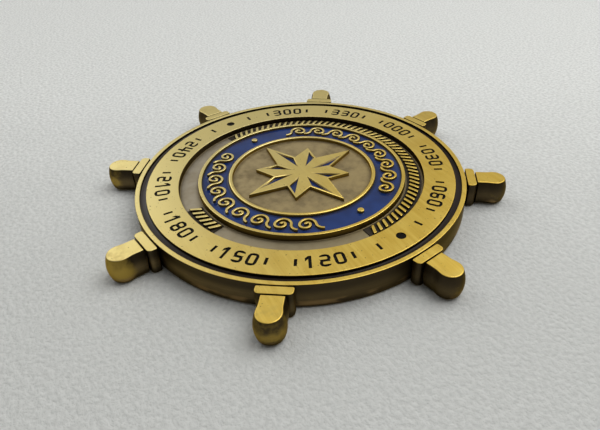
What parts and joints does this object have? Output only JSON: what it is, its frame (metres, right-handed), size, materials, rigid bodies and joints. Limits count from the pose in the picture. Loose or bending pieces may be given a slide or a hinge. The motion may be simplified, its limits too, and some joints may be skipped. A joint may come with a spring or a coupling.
{
  "type": "challenge coin",
  "caption": "Ship's-wheel-shaped coin: a brass disc with eight handles, an engraved bearing scale, and a blue enamel ring round a compass rose.",
  "frame": {"origin": "centre of the coin, on the plane of its back, which lies on the table", "axes": "+Z out of the face, +Y to the top of the design, through the handle over the 000 mark"},
  "size_m": [0.0636, 0.0636, 0.004],
  "materials": {
    "antique_brass": "antique brass plate, sanded bright on top and dark with oxide in the recesses",
    "blue_enamel": "deep blue soft enamel, glossy",
    "black_enamel": "black soft enamel, glossy",
    "mark_paint": "black paint in engraved marks, satin",
    "pad_paint": "dark brown-black paint, matt"
  },
  "bodies": {
    "root": {"wheel_casting": "antique_brass", "ring_enamel": "blue_enamel", "groove_enamel": "black_enamel", "rose_enamel_east": "blue_enamel", "rose_enamel_northeast": "blue_enamel", "rose_enamel_north": "blue_enamel", "rose_enamel_northwest": "blue_enamel", "rose_enamel_west": "blue_enamel", "rose_enamel_southwest": "blue_enamel", "rose_enamel_south": "blue_enamel", "rose_enamel_southeast": "blue_enamel", "bearing_paint_upper": "mark_paint", "bearing_paint_lower": "mark_paint", "east_dot_paint": "mark_paint", "west_dot_paint": "mark_paint", "rope_paint_upper": "pad_paint", "rope_paint_lower": "pad_paint"}
  },
  "joints": []
}
